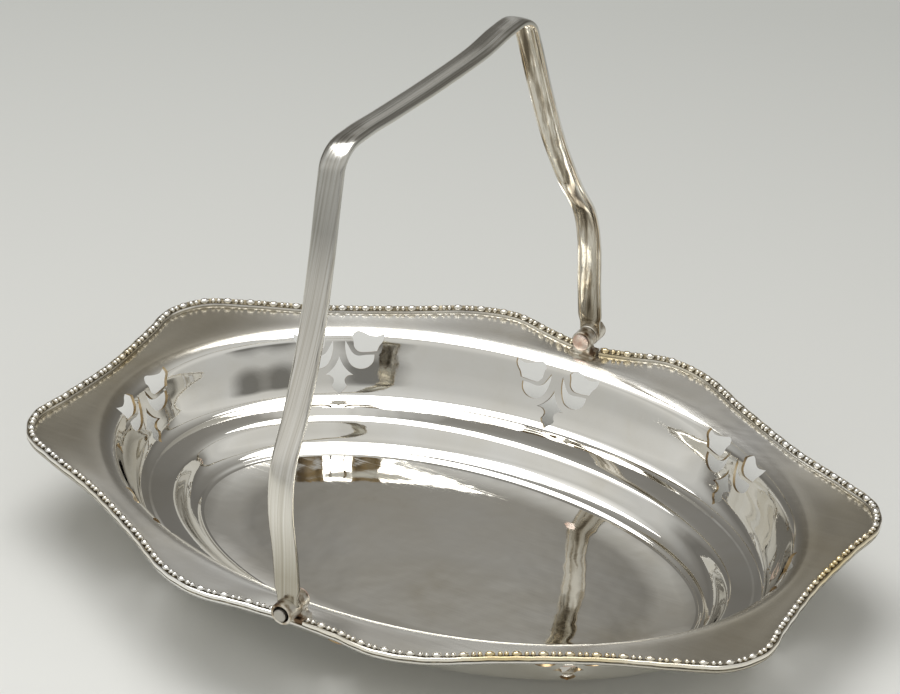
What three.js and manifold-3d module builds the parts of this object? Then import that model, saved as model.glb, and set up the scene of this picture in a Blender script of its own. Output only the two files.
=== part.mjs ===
// Swing-handled dish in silver plate, in millimetres with +Z up.
// The origin is the middle of the flat base, +X points to a narrow end and the handle swings about Y.
// A pressed sheet dish carries a bead-and-reel border, two hinge lugs with their pins and a strap handle.
import * as THREE from 'three';
import { mergeVertices } from 'three/addons/utils/BufferGeometryUtils.js';
import Module from 'manifold-3d';

const wasm = await Module();
wasm.setup();

// Gap between pieces that are soldered or seated on each other
const SEAT_GAP = 0.3;

// Dish sheet and the line of the border's beads above the floor
const SHEET = 1.2;
const BOWL_DEPTH = 37.5;
const BEAD_LINE_Z = SHEET + BOWL_DEPTH;

// Bowl mouth: the oval where the flange turns down into the well
const MOUTH_HALF_LENGTH = 133;
const MOUTH_HALF_WIDTH = 96;
// The well draws in this much more across the width than along the length
const SIDE_DRAW = 1.13;

// Outline of the rim along the middle of the beads: the flange's width round the mouth and its lobes
const HINGE_FLANGE_WIDTH = 12.5;
const END_FLANGE_WIDTH = 12.3;
const LOBE_SWELL = 4.8;
const LOBE_X = 34;
const CORNER_SWELL = 3.1;
const CORNER_Y = 46;
const HINGE_HALF_WIDTH = MOUTH_HALF_WIDTH + HINGE_FLANGE_WIDTH;
const END_HALF_LENGTH = MOUTH_HALF_LENGTH + END_FLANGE_WIDTH;
const LOBE_HALF_WIDTH = HINGE_HALF_WIDTH + LOBE_SWELL;
const CORNER_HALF_LENGTH = END_HALF_LENGTH + CORNER_SWELL;

// Shares of a swell half way to the lobe, and of the corner's swell and place along the narrow end
const HALF_WAY_SWELL = 0.4;
const END_BOW_SWELL = 0.55;
const END_BOW_PLACE = 0.63;
// The long sweep from the lobe to the corner, as shares of the way along the dish and inwards
const SWEEP = [
  [0.144, 0.064],
  [0.341, 0.276],
  [0.603, 0.535],
  [0.813, 0.691],
  [0.94, 0.808],
];
// One quarter from the hinge to the narrow end
const QUARTER_OUTLINE = [
  [0, HINGE_HALF_WIDTH],
  [LOBE_X / 2, HINGE_HALF_WIDTH + LOBE_SWELL * HALF_WAY_SWELL],
  [LOBE_X, LOBE_HALF_WIDTH],
  ...SWEEP.map(([along, across]) => [
    LOBE_X + (CORNER_HALF_LENGTH - LOBE_X) * along,
    LOBE_HALF_WIDTH - (LOBE_HALF_WIDTH - CORNER_Y) * across,
  ]),
  [CORNER_HALF_LENGTH, CORNER_Y],
  [END_HALF_LENGTH + CORNER_SWELL * END_BOW_SWELL, CORNER_Y * END_BOW_PLACE],
  [END_HALF_LENGTH, 0],
];

// The rim dips a little at the hinges and at the narrow ends
const HINGE_DIP = 1.8;
const END_DIP = 0.5;

// Upper face of the well, as [inset from the mouth, depth under the bead line], flange to floor
const WELL_SECTION = [
  [-3.5, 2.3],
  [-0.6, 2.7],
  [1.6, 4.4],
  [3.8, 9.4],
  [6.4, 16.4],
  [9.6, 22.8],
  [12.3, 26],
  [14.6, 26],
  [18.6, 27.2],
  [23, 28.2],
  [24.8, 29.4],
  [26.1, 32],
  [28.2, 34.8],
  [30.6, 35.9],
  [32.2, 36.4],
  [33.8, BOWL_DEPTH],
];

// Pierced ornaments round the wall: how many, how far the ring is turned past the hinges, where their
// middle lies on the wall and how far the cutters reach
const PIERCING_COUNT = 8;
const PIERCING_TURN = 4;
const PIERCING_INSET = 6.2;
const PIERCING_DEPTH = 14.6;
const PIERCING_LEAN = 65;
const CUTTER_REACH = 6;

// Outline of the pierced ornament in mm, on the wall: across, then up the slope
const PETAL = [
  [4.9, 11],
  [7.4, 13],
  [11.2, 11.6],
  [14, 10.9],
  [17.6, 12],
  [16.8, 8.8],
  [14.6, 5.2],
  [9.4, 4.8],
  [6.6, 5.8],
  [5.6, 8.4],
];
const CUP = [
  [2.4, 9.4],
  [2.6, 4.6],
  [4.1, 0.6],
  [6.4, -1.3],
  [10, -1.5],
  [12.9, 0.6],
  [13.6, 3.9],
  [7.4, 3.5],
  [4.8, 5.1],
];
const SPEAR_SIDE = [
  [0, 3.4],
  [1, 0.8],
  [2.6, -1.6],
  [5.5, -4],
  [2.2, -5.5],
  [2.9, -8.1],
  [0, -11.6],
];

// Border wire: large beads with a two-bead reel between them on a flat strip
const BEAD_PITCH = 9;
const BEAD_RADIUS = 1.6;
const REEL_RADIUS = 1;
const NECK_RADIUS = 0.45;
const BEAD_FOOT = 0.2;
// Places along one pitch, as shares of it, with the radius of the wire there
const PITCH_RINGS = [
  [0, NECK_RADIUS],
  [0.17, BEAD_RADIUS],
  [0.33, BEAD_RADIUS],
  [0.5, NECK_RADIUS],
  [0.75, REEL_RADIUS],
];
const STRIP_THICKNESS = 0.8;
const STRIP_TOP_BELOW_BEADS = 0.5;
const STRIP_INNER = 2;
const STRIP_OUTER = 2.2;
const FLANGE_OVERHANG = 1.4;
const FLANGE_DROP = STRIP_TOP_BELOW_BEADS + STRIP_THICKNESS + SEAT_GAP;

// Hinges: the axis above the bead line, and the lug that stands on the flange
const HINGE_AXIS_RISE = 3;
const HINGE_Z = BEAD_LINE_Z + HINGE_AXIS_RISE;
const LUG_RADIUS = 4;
const LUG_INNER_Y = HINGE_HALF_WIDTH - 4.9;
const LUG_TUBE_LENGTH = 5;
const SADDLE_HALF_WIDTH = 5;
const SADDLE_LENGTH = HINGE_HALF_WIDTH + FLANGE_OVERHANG - LUG_INNER_Y;
const SADDLE_LAP = 0.8;
const BORDER_END_GAP = 0.4;

// Pin: riveted at its inner end and plain where it stands out of the barrel
const PIN_RADIUS = 2.3;
const PIN_HEAD_RADIUS = 3.3;
const PIN_HEAD_THICKNESS = 0.7;
const PIN_STAND_OUT = 1.2;

// Barrel on each foot of the handle, a thin tube that turns loosely on the pin
const BARREL_RADIUS = 4.1;
const BARREL_WALL = 1;
const BARREL_LENGTH = 7.3;
const HINGE_END_PLAY = 0.4;

// Handle strap, a shallow channel; its line runs from the foot to the middle of the grip
const STRAP_WIDTH = 9.6;
const STRAP_DEPTH = 2.3;
const STRAP_WALL = 1.1;
const STRAP_LIP = 1.2;
const STRAP_LIP_FLARE = 0.6;
const STRAP_EDGE_ROUND = 0.9;
const STRAP_CROWN = 0.3;
const STRAP_FLAT_WIDTH = 3.8;
const FOOT_WIDTH = 8;
const FOOT_TAPER_LENGTH = 4;
const FOOT_SET_IN = 1;
const LEG_HEIGHT = 20;
const BEND_HEIGHT = 39.2;
const BEND_SWELL = 0.8;
const GRIP_HALF_SPAN = 61.4;
const GRIP_SHOULDER_HEIGHT = 152.3;
const GRIP_HEIGHT = 149.9;
// The handle was bent by hand and its back half came out this share lower
const BACK_HALF_HEIGHT = 0.983;

// The handle stands a little off upright, leaning towards -X
const HANDLE_LEAN_DEGREES = 4.1;

// Facets
const RIM_SAMPLES = 1600;
const DISH_COLUMNS = 58;
const CORNER_DENSITY = 14;
const TUBE_SIDES = 20;
const STRAP_STEPS = 54;

// How far a cutter runs past the faces that it opens
const CUT_MARGIN = 1;

const degrees = THREE.MathUtils.degToRad;

// A solid for joining and cutting, made from a geometry whose shared vertices are merged
function solidFrom(geometry) {
  const bare = geometry.index ? geometry.toNonIndexed() : geometry.clone();
  bare.deleteAttribute('normal');
  bare.deleteAttribute('uv');
  const merged = mergeVertices(bare, 1e-4);
  const mesh = new wasm.Mesh({
    numProp: 3,
    vertProperties: new Float32Array(merged.attributes.position.array),
    triVerts: new Uint32Array(merged.index.array),
  });
  return new wasm.Manifold(mesh);
}

// A geometry for display, made from a solid
function geometryFrom(solid) {
  const mesh = solid.getMesh();
  const geometry = new THREE.BufferGeometry();
  geometry.setAttribute('position', new THREE.BufferAttribute(mesh.vertProperties, 3));
  geometry.setIndex(new THREE.BufferAttribute(mesh.triVerts, 1));
  return geometry;
}

// A closed skin over rings of equal length: the rings run along it and each ring is a closed section
function skinOverRings(rings) {
  const size = rings[0].length;
  const positions = rings.flat().flatMap((point) => [point.x, point.y, point.z]);
  const index = [];
  for (let here = 0; here < (rings.length - 1) * size; here += size) {
    const next = here + size;
    for (let j = 0; j < size; j += 1) {
      const k = (j + 1) % size;
      index.push(here + j, here + k, next + k, here + j, next + k, next + j);
    }
  }
  const flat = rings[0].map((point) => sectionPlanePoint(point, rings[0]));
  const last = (rings.length - 1) * size;
  for (const [a, b, c] of THREE.ShapeUtils.triangulateShape(flat, [])) {
    index.push(c, b, a);
    index.push(last + a, last + b, last + c);
  }
  const geometry = new THREE.BufferGeometry();
  geometry.setAttribute('position', new THREE.Float32BufferAttribute(positions, 3));
  geometry.setIndex(index);
  return geometry;
}

// Flat coordinates of a point in the plane of its ring, turning the same way as the ring does
function sectionPlanePoint(point, ring) {
  const origin = ring[0];
  const across = ring[1].clone().sub(origin).normalize();
  const normal = new THREE.Vector3();
  for (let j = 1; j < ring.length - 1; j += 1) {
    const a = ring[j].clone().sub(origin);
    const b = ring[j + 1].clone().sub(origin);
    normal.add(a.cross(b));
  }
  const up = normal.normalize().cross(across);
  const arm = point.clone().sub(origin);
  return new THREE.Vector2(arm.dot(across), arm.dot(up));
}

// Turns a geometry inside out when its faces point inwards
function facingOut(geometry) {
  const solid = solidFrom(geometry);
  if (solid.volume() > 0) return solid;
  const index = Array.from(geometry.index.array);
  for (let i = 0; i < index.length; i += 3) {
    [index[i], index[i + 1]] = [index[i + 1], index[i]];
  }
  const turned = geometry.clone();
  turned.setIndex(index);
  return solidFrom(turned);
}

function makeMesh(name, solid, material) {
  const mesh = new THREE.Mesh(geometryFrom(solid), material);
  mesh.name = name;
  return mesh;
}

// The closed line of the rim, mirrored from one quarter
function rimCurve() {
  const quarter = QUARTER_OUTLINE.map(([x, y]) => new THREE.Vector3(x, y, 0));
  const mirrored = (points, sx, sy) => points.map((p) => new THREE.Vector3(p.x * sx, p.y * sy, 0));
  const inner = quarter.slice(1, -1);
  const points = [
    ...quarter,
    ...mirrored([...inner].reverse(), 1, -1),
    new THREE.Vector3(0, -HINGE_HALF_WIDTH, 0),
    ...mirrored(inner, -1, -1),
    new THREE.Vector3(-END_HALF_LENGTH, 0, 0),
    ...mirrored([...inner].reverse(), -1, 1),
  ];
  const curve = new THREE.CatmullRomCurve3(points, true, 'centripetal');
  curve.arcLengthDivisions = RIM_SAMPLES;
  return curve;
}

// A point of the rim, at a share of the way round, with its outward direction
function rimStation(curve, share) {
  const point = curve.getPointAt(share);
  const tangent = curve.getTangentAt(share);
  const out = new THREE.Vector3(-tangent.y, tangent.x, 0);
  if (out.dot(point) < 0) out.negate();
  return { point, out };
}

// Stations round the whole rim, closer together where it turns sharply
function rimStations() {
  const curve = rimCurve();
  const line = Array.from({ length: RIM_SAMPLES + 1 }, (_, i) => rimStation(curve, i / RIM_SAMPLES));
  const reach = [0];
  for (let i = 1; i <= RIM_SAMPLES; i += 1) {
    const step = line[i].point.distanceTo(line[i - 1].point);
    const turn = line[i].out.angleTo(line[i - 1].out);
    reach.push(reach[i - 1] + step + CORNER_DENSITY * turn);
  }
  return Array.from({ length: DISH_COLUMNS }, (_, j) => {
    const wanted = (reach[RIM_SAMPLES] * j) / DISH_COLUMNS;
    return line[reach.findIndex((length) => length >= wanted)];
  });
}

// Smooth fall from 1 at the middle of a dip to 0 at its span
function fade(distance, span) {
  const t = THREE.MathUtils.clamp(1 - distance / span, 0, 1);
  return t * t * (3 - 2 * t);
}

// How far the rim lies under the bead line beside a point of the outline
function rimDip(point) {
  return HINGE_DIP * fade(Math.abs(point.x), LOBE_X) + END_DIP * fade(Math.abs(point.y), CORNER_Y);
}

// Point on an oval of the well, beside a point of the rim
function wellPoint(rimPoint, inset, depth) {
  const halfLength = MOUTH_HALF_LENGTH - inset;
  const halfWidth = MOUTH_HALF_WIDTH - inset * SIDE_DRAW;
  const angle = Math.atan2(rimPoint.y / MOUTH_HALF_WIDTH, rimPoint.x / MOUTH_HALF_LENGTH);
  return new THREE.Vector3(
    halfLength * Math.cos(angle),
    halfWidth * Math.sin(angle),
    BEAD_LINE_Z - depth,
  );
}

// The section moved by the sheet's thickness to its other face
function sectionUnderside() {
  const section = WELL_SECTION.map(([inset, depth]) => new THREE.Vector2(inset, -depth));
  return section.map((point, i) => {
    const before = section[Math.max(i - 1, 0)];
    const after = section[Math.min(i + 1, section.length - 1)];
    const along = after.clone().sub(before).normalize();
    if (i === section.length - 1) along.set(1, 0);
    return [point.x + along.y * SHEET, -(point.y - along.x * SHEET)];
  });
}

// One column of the dish's section, out over the flange and back underneath
function dishColumn({ point, out }) {
  const dip = rimDip(point);
  const flangeTop = BEAD_LINE_Z - FLANGE_DROP - dip;
  const atRim = (offset, z) => {
    const moved = point.clone().addScaledVector(out, offset);
    moved.z = z;
    return moved;
  };
  const upper = WELL_SECTION.map(([inset, depth]) => wellPoint(point, inset, depth));
  const under = sectionUnderside().map(([inset, depth]) => wellPoint(point, inset, depth));
  const besideBorder = atRim(-STRIP_INNER, flangeTop);
  return [
    ...[...upper].reverse(),
    upper[0].clone().lerp(besideBorder, 0.5),
    besideBorder,
    atRim(FLANGE_OVERHANG, flangeTop),
    atRim(FLANGE_OVERHANG, flangeTop - SHEET),
    atRim(-STRIP_INNER, flangeTop - SHEET),
    ...under.filter((_, i) => i % 2 === 0 || i === under.length - 1),
  ];
}

// The pressed sheet before it is pierced
function plainDish() {
  const columns = rimStations().map(dishColumn);
  const size = columns[0].length;
  const positions = columns.flat().flatMap((point) => [point.x, point.y, point.z]);
  const index = [];
  columns.forEach((_, i) => {
    const here = i * size;
    const next = ((i + 1) % columns.length) * size;
    for (let j = 0; j < size - 1; j += 1) {
      index.push(here + j, here + j + 1, next + j + 1, here + j, next + j + 1, next + j);
    }
  });
  const floorTop = positions.length / 3;
  positions.push(0, 0, SHEET, 0, 0, 0);
  columns.forEach((_, i) => {
    const here = i * size;
    const next = ((i + 1) % columns.length) * size;
    index.push(here, next, floorTop);
    index.push(next + size - 1, here + size - 1, floorTop + 1);
  });
  const geometry = new THREE.BufferGeometry();
  geometry.setAttribute('position', new THREE.Float32BufferAttribute(positions, 3));
  geometry.setIndex(index);
  return facingOut(geometry);
}

// Outlines of one ornament: two tulips, each a petal over a cup, and the spear between them
function ornamentOutlines() {
  const mirrored = (outline) => outline.map(([x, y]) => [-x, y]).reverse();
  const spear = [...SPEAR_SIDE, ...mirrored(SPEAR_SIDE.slice(1, -1))];
  return [PETAL, mirrored(PETAL), CUP, mirrored(CUP), spear];
}

// The cutters of one ornament, standing square to the wall at an angle round the well
function ornamentCutters(angle) {
  const halfLength = MOUTH_HALF_LENGTH - PIERCING_INSET;
  const halfWidth = MOUTH_HALF_WIDTH - PIERCING_INSET * SIDE_DRAW;
  const out = new THREE.Vector3(Math.cos(angle) / halfLength, Math.sin(angle) / halfWidth, 0);
  out.normalize();
  const across = new THREE.Vector3(-out.y, out.x, 0);
  const lean = degrees(PIERCING_LEAN);
  const slope = out.clone().multiplyScalar(Math.cos(lean));
  slope.z = Math.sin(lean);
  const through = across.clone().cross(slope);
  const place = new THREE.Matrix4().makeBasis(across, slope, through);
  const middle = new THREE.Vector3(halfLength * Math.cos(angle), halfWidth * Math.sin(angle), 0);
  place.setPosition(middle.x, middle.y, BEAD_LINE_Z - PIERCING_DEPTH - rimDip(middle));
  return ornamentOutlines().map((outline) => {
    const shape = new THREE.Shape(outline.map(([x, y]) => new THREE.Vector2(x, y)));
    const prism = new THREE.ExtrudeGeometry(shape, { depth: 2 * CUTTER_REACH, bevelEnabled: false });
    prism.translate(0, 0, -CUTTER_REACH);
    prism.applyMatrix4(place);
    return solidFrom(prism);
  });
}

// Angles that space the ornaments evenly round the well, with one near each hinge and each end
function ornamentAngles() {
  const halfLength = MOUTH_HALF_LENGTH - PIERCING_INSET;
  const halfWidth = MOUTH_HALF_WIDTH - PIERCING_INSET * SIDE_DRAW;
  const oval = new THREE.EllipseCurve(0, 0, halfLength, halfWidth, 0, 2 * Math.PI);
  const turn = PIERCING_TURN / oval.getLength();
  return Array.from({ length: PIERCING_COUNT }, (_, i) => {
    const point = oval.getPointAt(i / PIERCING_COUNT + turn);
    return Math.atan2(point.y / halfWidth, point.x / halfLength);
  });
}

function makeDish() {
  let dish = plainDish();
  for (const angle of ornamentAngles()) {
    for (const cutter of ornamentCutters(angle)) dish = dish.subtract(cutter);
  }
  return dish;
}

// One half of the border wire, from beside one lug round a narrow end to beside the other
function makeBorderHalf(side) {
  const curve = rimCurve();
  const length = curve.getLength();
  const gap = (SADDLE_HALF_WIDTH + BORDER_END_GAP) / length;
  const start = side > 0 ? 0 : 0.5;
  const from = start + gap;
  const to = start + 0.5 - gap;
  const pitches = Math.round(((to - from) * length) / BEAD_PITCH);
  const rings = [];
  for (let i = 0; i < pitches; i += 1) {
    for (const [share, radius] of PITCH_RINGS) {
      rings.push(borderSection(curve, from + ((to - from) * (i + share)) / pitches, radius));
    }
  }
  rings.push(borderSection(curve, to, NECK_RADIUS));
  return facingOut(skinOverRings(rings));
}

// Section of the border wire: a flat strip with the bead's crown on it
function borderSection(curve, share, radius) {
  const { point, out } = rimStation(curve, share);
  const beadZ = BEAD_LINE_Z - rimDip(point);
  const stripTop = beadZ - STRIP_TOP_BELOW_BEADS;
  const section = [
    [-STRIP_INNER, stripTop - STRIP_THICKNESS],
    [STRIP_OUTER, stripTop - STRIP_THICKNESS],
    [radius + BEAD_FOOT, stripTop],
    [0, beadZ + radius],
    [-radius - BEAD_FOOT, stripTop],
  ];
  return section.map(([offset, z]) => {
    const corner = point.clone().addScaledVector(out, offset);
    corner.z = z;
    return corner;
  });
}

// A round bar or tube along Y between two places, on the hinge axis
function hingeRound(radius, y0, y1) {
  const bar = new THREE.CylinderGeometry(radius, radius, Math.abs(y1 - y0), TUBE_SIDES);
  bar.translate(0, (y0 + y1) / 2, HINGE_Z);
  return solidFrom(bar);
}

const LUG_OUTER_Y = LUG_INNER_Y + LUG_TUBE_LENGTH;
const BARREL_INNER_Y = LUG_OUTER_Y + HINGE_END_PLAY;
const BARREL_OUTER_Y = BARREL_INNER_Y + BARREL_LENGTH;
const PIN_END_Y = BARREL_OUTER_Y + PIN_STAND_OUT;

// Line of the strap from its foot, which stands on the middle of the barrel, to the middle of the grip.
// The points between bend and shoulder are shares of the way in and up from the one to the other.
const FOOT_HALF_SPAN = (BARREL_INNER_Y + BARREL_OUTER_Y) / 2 - FOOT_SET_IN;
const BEND_HALF_SPAN = FOOT_HALF_SPAN + BEND_SWELL;
const LEG_SWEEP = [
  [0.061, 0.13],
  [0.269, 0.277],
  [0.502, 0.483],
  [0.678, 0.693],
  [0.83, 0.904],
  [0.889, 0.967],
];
const SHOULDER_RISE = GRIP_SHOULDER_HEIGHT - GRIP_HEIGHT;
const GRIP_CURVE = [
  [0.81, 1.25],
  [0.52, 0.75],
];
const STRAP_LINE = [
  [FOOT_HALF_SPAN, 0],
  [FOOT_HALF_SPAN, LEG_HEIGHT],
  [BEND_HALF_SPAN, BEND_HEIGHT],
  ...LEG_SWEEP.map(([inwards, up]) => [
    BEND_HALF_SPAN - (BEND_HALF_SPAN - GRIP_HALF_SPAN) * inwards,
    BEND_HEIGHT + (GRIP_SHOULDER_HEIGHT - BEND_HEIGHT) * up,
  ]),
  [GRIP_HALF_SPAN, GRIP_SHOULDER_HEIGHT],
  ...GRIP_CURVE.map(([along, up]) => [GRIP_HALF_SPAN * along, GRIP_HEIGHT + SHOULDER_RISE * up]),
  [0, GRIP_HEIGHT],
];

// Lug: a short tube for the pin, whose saddle follows the flange and takes the border's place
function makeLug(side, plain) {
  const tube = hingeRound(LUG_RADIUS, side * LUG_INNER_Y, side * LUG_OUTER_Y);
  const saddleTop = HINGE_Z - BARREL_RADIUS - SEAT_GAP;
  const saddleBottom = BEAD_LINE_Z - HINGE_DIP - FLANGE_DROP;
  const saddle = new THREE.BoxGeometry(2 * SADDLE_HALF_WIDTH, SADDLE_LENGTH, saddleTop - saddleBottom);
  saddle.translate(0, side * (LUG_INNER_Y + SADDLE_LENGTH / 2), (saddleTop + saddleBottom) / 2);
  const webTop = HINGE_Z - LUG_RADIUS / 2;
  const shoulder = new THREE.Shape([
    new THREE.Vector2(-SADDLE_HALF_WIDTH, saddleTop - SADDLE_LAP),
    new THREE.Vector2(SADDLE_HALF_WIDTH, saddleTop - SADDLE_LAP),
    new THREE.Vector2(LUG_RADIUS, webTop),
    new THREE.Vector2(-LUG_RADIUS, webTop),
  ]);
  const web = new THREE.ExtrudeGeometry(shoulder, { depth: LUG_TUBE_LENGTH, bevelEnabled: false });
  web.rotateX(Math.PI / 2);
  web.translate(0, side > 0 ? LUG_OUTER_Y : -LUG_INNER_Y, 0);
  const whole = tube.add(solidFrom(saddle)).add(solidFrom(web));
  const overFlange = plain.translate(0, 0, SEAT_GAP).add(plain.translate(0, 0, SEAT_GAP - SHEET / 2));
  const boreInnerY = LUG_INNER_Y - CUT_MARGIN;
  const boreOuterY = LUG_OUTER_Y + CUT_MARGIN;
  const bore = hingeRound(PIN_RADIUS + SEAT_GAP, side * boreInnerY, side * boreOuterY);
  return whole.subtract(overFlange).subtract(bore);
}

// Pin: its head closes the lug's inner end and its plain end stands out of the barrel
function makePin(side) {
  const headOuterY = LUG_INNER_Y - SEAT_GAP;
  const shank = hingeRound(PIN_RADIUS, side * (headOuterY - PIN_HEAD_THICKNESS / 2), side * PIN_END_Y);
  const head = hingeRound(PIN_HEAD_RADIUS, side * (headOuterY - PIN_HEAD_THICKNESS), side * headOuterY);
  return shank.add(head);
}

function makeBarrel(side) {
  const wall = hingeRound(BARREL_RADIUS, side * BARREL_INNER_Y, side * BARREL_OUTER_Y);
  const boreInnerY = BARREL_INNER_Y - CUT_MARGIN;
  const boreOuterY = BARREL_OUTER_Y + CUT_MARGIN;
  return wall.subtract(hingeRound(BARREL_RADIUS - BARREL_WALL, side * boreInnerY, side * boreOuterY));
}

// Half the strap's width at a height above the hinge axis: it narrows into the barrel
function strapHalfWidth(height) {
  const start = BARREL_RADIUS + SEAT_GAP;
  const narrow = fade(Math.max(height - start, 0), FOOT_TAPER_LENGTH);
  return (STRAP_WIDTH - (STRAP_WIDTH - FOOT_WIDTH) * narrow) / 2;
}

// The channel section as [across, outward], crowned outside and hollow inside
function strapSection(halfWidth) {
  const half = STRAP_DEPTH / 2;
  const side = [
    [halfWidth, -half],
    [halfWidth, half - STRAP_CROWN - STRAP_EDGE_ROUND],
    [halfWidth - STRAP_EDGE_ROUND, half - STRAP_CROWN],
    [STRAP_FLAT_WIDTH / 2, half],
  ];
  const hollow = [
    [halfWidth - STRAP_LIP, -half],
    [halfWidth - STRAP_LIP - STRAP_LIP_FLARE, half - STRAP_WALL],
  ];
  const mirrored = (points) => points.map(([x, n]) => [-x, n]).reverse();
  return [...side, ...mirrored(side), ...mirrored(hollow).reverse(), ...[...hollow].reverse()];
}

// The strap swept along its line, cut where its feet sit on the barrels
function makeStrap() {
  const front = STRAP_LINE.map(([y, height]) => new THREE.Vector3(0, -y, height)).reverse();
  const back = front.slice(1).reverse().map((p) => new THREE.Vector3(0, -p.y, p.z * BACK_HALF_HEIGHT));
  const curve = new THREE.CatmullRomCurve3([...back, ...front], false, 'centripetal');
  const rings = [];
  for (let i = 0; i <= STRAP_STEPS; i += 1) {
    const point = curve.getPointAt(i / STRAP_STEPS);
    const tangent = curve.getTangentAt(i / STRAP_STEPS);
    const outward = new THREE.Vector3(0, tangent.z, -tangent.y);
    const ring = strapSection(strapHalfWidth(point.z)).map(([across, out]) => {
      const corner = point.clone().addScaledVector(outward, out);
      corner.x += across;
      corner.z += HINGE_Z;
      return corner;
    });
    rings.push(ring);
  }
  const seat = BARREL_RADIUS + SEAT_GAP;
  const barrels = hingeRound(seat, -BARREL_OUTER_Y - seat, BARREL_OUTER_Y + seat);
  return facingOut(skinOverRings(rings)).subtract(barrels);
}

// Finishes, all silver plate but for the copper that shows at the pins
const silver = new THREE.MeshStandardMaterial({ color: 0xb9b8b0, roughness: 0.16, metalness: 1 });
const wornSilver = new THREE.MeshStandardMaterial({ color: 0xb5a98a, roughness: 0.28, metalness: 1 });
const tarnished = new THREE.MeshStandardMaterial({ color: 0x7b6f60, roughness: 0.45, metalness: 1 });
const copper = new THREE.MeshStandardMaterial({ color: 0xb49078, roughness: 0.35, metalness: 1 });

const plain = plainDish();
const tray = new THREE.Group();
tray.add(makeMesh('dish', makeDish(), silver));
tray.add(makeMesh('border_right', makeBorderHalf(1), wornSilver));
tray.add(makeMesh('border_left', makeBorderHalf(-1), wornSilver));
tray.add(makeMesh('hinge_lug_front', makeLug(-1, plain), tarnished));
tray.add(makeMesh('hinge_lug_back', makeLug(1, plain), tarnished));
tray.add(makeMesh('hinge_pin_front', makePin(-1), copper));
tray.add(makeMesh('hinge_pin_back', makePin(1), copper));

// The handle is modelled upright and turned about the hinge axis to its lean
const handle = new THREE.Group();
handle.add(makeMesh('handle_strap', makeStrap(), silver));
handle.add(makeMesh('handle_barrel_front', makeBarrel(-1), silver));
handle.add(makeMesh('handle_barrel_back', makeBarrel(1), silver));
handle.children.forEach((mesh) => mesh.geometry.translate(0, 0, -HINGE_Z));
handle.position.z = HINGE_Z;
handle.rotation.y = -degrees(HANDLE_LEAN_DEGREES);

const swingHandleDish = new THREE.Group();
swingHandleDish.add(tray, handle);

export default swingHandleDish;
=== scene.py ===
import math

import bmesh
import bpy
from mathutils import Matrix, Quaternion, Vector
from mathutils.bvhtree import BVHTree


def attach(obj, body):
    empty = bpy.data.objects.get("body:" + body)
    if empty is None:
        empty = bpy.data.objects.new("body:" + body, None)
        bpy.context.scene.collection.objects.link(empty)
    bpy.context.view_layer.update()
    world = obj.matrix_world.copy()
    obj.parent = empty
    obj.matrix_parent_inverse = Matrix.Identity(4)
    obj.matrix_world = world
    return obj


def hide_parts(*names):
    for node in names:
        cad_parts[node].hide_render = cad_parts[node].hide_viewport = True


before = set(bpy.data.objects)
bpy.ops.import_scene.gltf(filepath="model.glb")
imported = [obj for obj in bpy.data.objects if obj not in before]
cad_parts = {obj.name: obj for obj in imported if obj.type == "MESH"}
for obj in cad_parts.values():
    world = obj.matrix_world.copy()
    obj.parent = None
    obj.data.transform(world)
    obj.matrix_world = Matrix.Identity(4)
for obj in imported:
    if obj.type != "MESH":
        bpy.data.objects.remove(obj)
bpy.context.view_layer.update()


# Camera
# A long lens about a metre and a half away, to the right of the front, looks down on the dish. Its
# place comes from the beads, which are evenly spaced all round the rim.
MM = 0.001
BEAD_LINE_Z = 38.7 * MM
VIEW_AZIMUTH = math.radians(28.49)
VIEW_ELEVATION = math.radians(29.80)
VIEW_ROLL = math.radians(1.67)
VIEW_DISTANCE = 1505.3 * MM
VIEW_AIM = Vector((-43.19 * MM, 78.20 * MM, BEAD_LINE_Z))
SENSOR_WIDTH = 36
FOCAL_PIXELS = 3937.8
IMAGE_WIDTH = 900

towards_camera = Vector((
    math.sin(VIEW_AZIMUTH) * math.cos(VIEW_ELEVATION),
    -math.cos(VIEW_AZIMUTH) * math.cos(VIEW_ELEVATION),
    math.sin(VIEW_ELEVATION),
))
camera_data = bpy.data.cameras.new("camera")
camera_data.sensor_width = SENSOR_WIDTH
camera_data.lens = FOCAL_PIXELS * SENSOR_WIDTH / IMAGE_WIDTH
camera_data.clip_start = 0.01
camera_data.clip_end = 50
camera = bpy.data.objects.new("camera", camera_data)
camera.rotation_mode = "QUATERNION"
camera.location = VIEW_AIM + towards_camera * VIEW_DISTANCE
level = (-towards_camera).to_track_quat("-Z", "Y")
camera.rotation_quaternion = Quaternion(towards_camera, VIEW_ROLL) @ level
bpy.context.collection.objects.link(camera)
bpy.context.scene.camera = camera
bpy.context.scene.view_settings.view_transform = "Standard"


# Table top
# A plain pale grey sheet of backdrop paper under the dish, painted a little darker towards the back
# for the light's fall-off there. Nothing else lies on it.
def linear(hex_colour):
    """A shader colour from sRGB hex digits."""
    channels = [int(hex_colour[i:i + 2], 16) / 255 for i in (1, 3, 5)]
    return [c / 12.92 if c <= 0.04045 else ((c + 0.055) / 1.055) ** 2.4 for c in channels] + [1]


def add_node(tree, kind, inputs=None, stops=(), **options):
    """Adds one node with its options, its inputs set or linked, and stops of place and hex colour."""
    node = tree.nodes.new(kind)
    for name, value in options.items():
        setattr(node, name, value)
    for name, value in (inputs or {}).items():
        if isinstance(value, bpy.types.NodeSocket):
            tree.links.new(value, node.inputs[name])
        else:
            node.inputs[name].default_value = value
    if stops:
        marks = node.color_ramp.elements
        while len(marks) < len(stops):
            marks.new(1)
        for mark, (place, hex_colour) in zip(marks, stops):
            mark.position = place
            mark.color = linear(hex_colour)
    return node


def new_material(name):
    """An empty node material with its Principled shader, and the shader's tree."""
    material = bpy.data.materials.new(name)
    material.use_nodes = True
    tree = material.node_tree
    return material, tree, tree.nodes["Principled BSDF"]


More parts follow.
